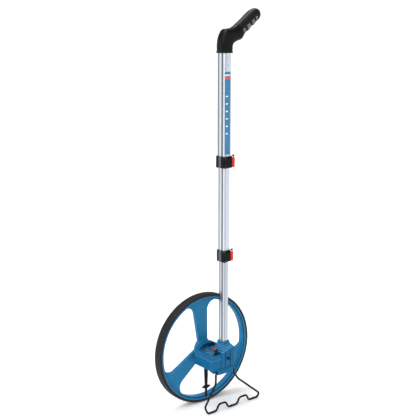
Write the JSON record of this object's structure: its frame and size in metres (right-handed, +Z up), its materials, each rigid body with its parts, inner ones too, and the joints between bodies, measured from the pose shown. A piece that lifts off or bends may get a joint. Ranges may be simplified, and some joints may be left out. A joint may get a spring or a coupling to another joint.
{
  "type": "measuring wheel",
  "caption": "Distance measuring wheel with a geared counter, plumb pointer, folding wire stand and a telescopic square pole with lever clamps and an angled grip.",
  "frame": {"origin": "the tyre's contact with the ground, straight under the axle and in the wheel's middle plane", "axes": "+Z up, +Y along the axle towards the wheel's free side, +X back towards the user, so the counter housing and the pole are on the -Y side"},
  "size_m": [0.3184, 0.1212, 1.1014],
  "materials": {
    "blue_plastic": "moulded blue plastic with a satin sheen",
    "tyre_rubber": "solid rubber, slightly dull",
    "steel": "zinc-plated steel",
    "aluminium": "clear anodised extrusion, satin along its length",
    "black_plastic": "black moulded plastic",
    "black_wire": "black powder-coated wire",
    "red_plastic": "red moulded plastic",
    "label_blue": "printed film label with plain bars",
    "grip_rubber": "soft black rubber",
    "window_glass": "clear window",
    "gear_nylon": "natural nylon",
    "drum_white": "white number drum",
    "drum_red": "orange-red number drum for tenths"
  },
  "bodies": {
    "frame": {"gearbox_base": "blue_plastic", "gearbox_cover": "blue_plastic", "housing_screws": "steel", "pole_socket": "blue_plastic", "socket_knob": "black_plastic", "axle": "steel", "axle_nut": "steel", "axle_washer": "steel", "lower_tube": "aluminium", "lower_guide": "black_plastic", "counter_case": "blue_plastic", "counter_window": "window_glass", "counter_shaft": "steel", "transfer_shaft": "steel", "stand_bracket": "blue_plastic"},
    "wheel": {"wheel_rim": "blue_plastic", "tyre": "tyre_rubber", "wheel_bearings": "steel", "drive_gear": "gear_nylon", "hub_cap": "blue_plastic"},
    "pointer": {"pointer": "black_plastic"},
    "stand": {"stand_wire": "black_wire"},
    "drum_1": {"digit_drum_1": "drum_red", "counter_gear": "gear_nylon"},
    "middle": {"middle_tube": "aluminium", "middle_guide": "black_plastic", "lower_clamp": "black_plastic", "lower_clamp_pad": "gear_nylon", "lower_lever_pin": "steel", "lower_clamp_screws": "steel"},
    "lower_latch": {"lower_lever": "black_plastic", "lower_lever_tip": "red_plastic"},
    "upper": {"upper_tube": "aluminium", "upper_clamp": "black_plastic", "upper_clamp_pad": "gear_nylon", "upper_lever_pin": "steel", "upper_clamp_screws": "steel", "tube_label": "label_blue", "tube_rivets": "steel", "grip_core": "black_plastic", "grip_sleeve": "grip_rubber"},
    "upper_latch": {"upper_lever": "black_plastic", "upper_lever_tip": "red_plastic"},
    "reset": {"reset_lever": "black_plastic"},
    "drum_2": {"digit_drum_2": "drum_white"},
    "drum_3": {"digit_drum_3": "drum_white"},
    "drum_4": {"digit_drum_4": "drum_white"},
    "drum_5": {"digit_drum_5": "drum_white"},
    "pinion_1": {"transfer_pinion_1": "gear_nylon"},
    "pinion_2": {"transfer_pinion_2": "gear_nylon"},
    "pinion_3": {"transfer_pinion_3": "gear_nylon"},
    "pinion_4": {"transfer_pinion_4": "gear_nylon"}
  },
  "joints": [
    {"name": "wheel_spin", "type": "hinge", "parent": "frame", "child": "wheel", "pos_m": [0, 0, 0.15915], "axis": [0, 1, 0], "continuous": true},
    {"name": "pointer_swing", "type": "hinge", "parent": "frame", "child": "pointer", "pos_m": [0, -0.015, 0.15915], "axis": [0, 1, 0], "continuous": true},
    {"name": "stand_fold", "type": "hinge", "parent": "frame", "child": "stand", "pos_m": [0, -0.0935, 0.116], "axis": [-1, 0, 0], "range_deg": [0, 150]},
    {"name": "middle_slide", "type": "slide", "parent": "frame", "child": "middle", "axis": [0, 0, 1], "range_m": [-0.218, 0]},
    {"name": "upper_slide", "type": "slide", "parent": "middle", "child": "upper", "axis": [0, 0, 1], "range_m": [-0.218, 0]},
    {"name": "lower_lever_turn", "type": "hinge", "parent": "middle", "child": "lower_latch", "pos_m": [0.002, -0.0931, 0.4435], "axis": [0, 0, -1], "range_deg": [0, 110]},
    {"name": "upper_lever_turn", "type": "hinge", "parent": "upper", "child": "upper_latch", "pos_m": [0.002, -0.0949, 0.7015], "axis": [0, 0, -1], "range_deg": [0, 110]},
    {"name": "reset_push", "type": "hinge", "parent": "frame", "child": "reset", "pos_m": [-0.018, -0.0825, 0.15915], "axis": [0, -1, 0], "range_deg": [0, 22], "stiffness_Nm_per_rad": 0.02, "springref_deg": -17.19},
    {"name": "drum_1_spin", "type": "hinge", "parent": "frame", "child": "drum_1", "pos_m": [-0.018, -0.0431, 0.15915], "axis": [0, 1, 0], "continuous": true},
    {"name": "drum_2_spin", "type": "hinge", "parent": "frame", "child": "drum_2", "pos_m": [-0.018, -0.0507, 0.15915], "axis": [0, 1, 0], "continuous": true},
    {"name": "drum_3_spin", "type": "hinge", "parent": "frame", "child": "drum_3", "pos_m": [-0.018, -0.0583, 0.15915], "axis": [0, 1, 0], "continuous": true},
    {"name": "drum_4_spin", "type": "hinge", "parent": "frame", "child": "drum_4", "pos_m": [-0.018, -0.0659, 0.15915], "axis": [0, 1, 0], "continuous": true},
    {"name": "drum_5_spin", "type": "hinge", "parent": "frame", "child": "drum_5", "pos_m": [-0.018, -0.0735, 0.15915], "axis": [0, 1, 0], "continuous": true},
    {"name": "pinion_1_spin", "type": "hinge", "parent": "frame", "child": "pinion_1", "pos_m": [-0.018, -0.0472, 0.14885], "axis": [0, 1, 0], "continuous": true},
    {"name": "pinion_2_spin", "type": "hinge", "parent": "frame", "child": "pinion_2", "pos_m": [-0.018, -0.0548, 0.14885], "axis": [0, 1, 0], "continuous": true},
    {"name": "pinion_3_spin", "type": "hinge", "parent": "frame", "child": "pinion_3", "pos_m": [-0.018, -0.0624, 0.14885], "axis": [0, 1, 0], "continuous": true},
    {"name": "pinion_4_spin", "type": "hinge", "parent": "frame", "child": "pinion_4", "pos_m": [-0.018, -0.07, 0.14885], "axis": [0, 1, 0], "continuous": true}
  ],
  "couplings": [
    {"joint": "drum_1_spin", "follows": "wheel_spin", "ratio": -1},
    {"joint": "drum_2_spin", "follows": "wheel_spin", "ratio": -0.1},
    {"joint": "drum_3_spin", "follows": "wheel_spin", "ratio": -0.01},
    {"joint": "drum_4_spin", "follows": "wheel_spin", "ratio": -0.001},
    {"joint": "drum_5_spin", "follows": "wheel_spin", "ratio": -0.0001},
    {"joint": "pinion_1_spin", "follows": "wheel_spin", "ratio": 0.25},
    {"joint": "pinion_2_spin", "follows": "wheel_spin", "ratio": 0.025},
    {"joint": "pinion_3_spin", "follows": "wheel_spin", "ratio": 0.0025},
    {"joint": "pinion_4_spin", "follows": "wheel_spin", "ratio": 0.00025}
  ]
}
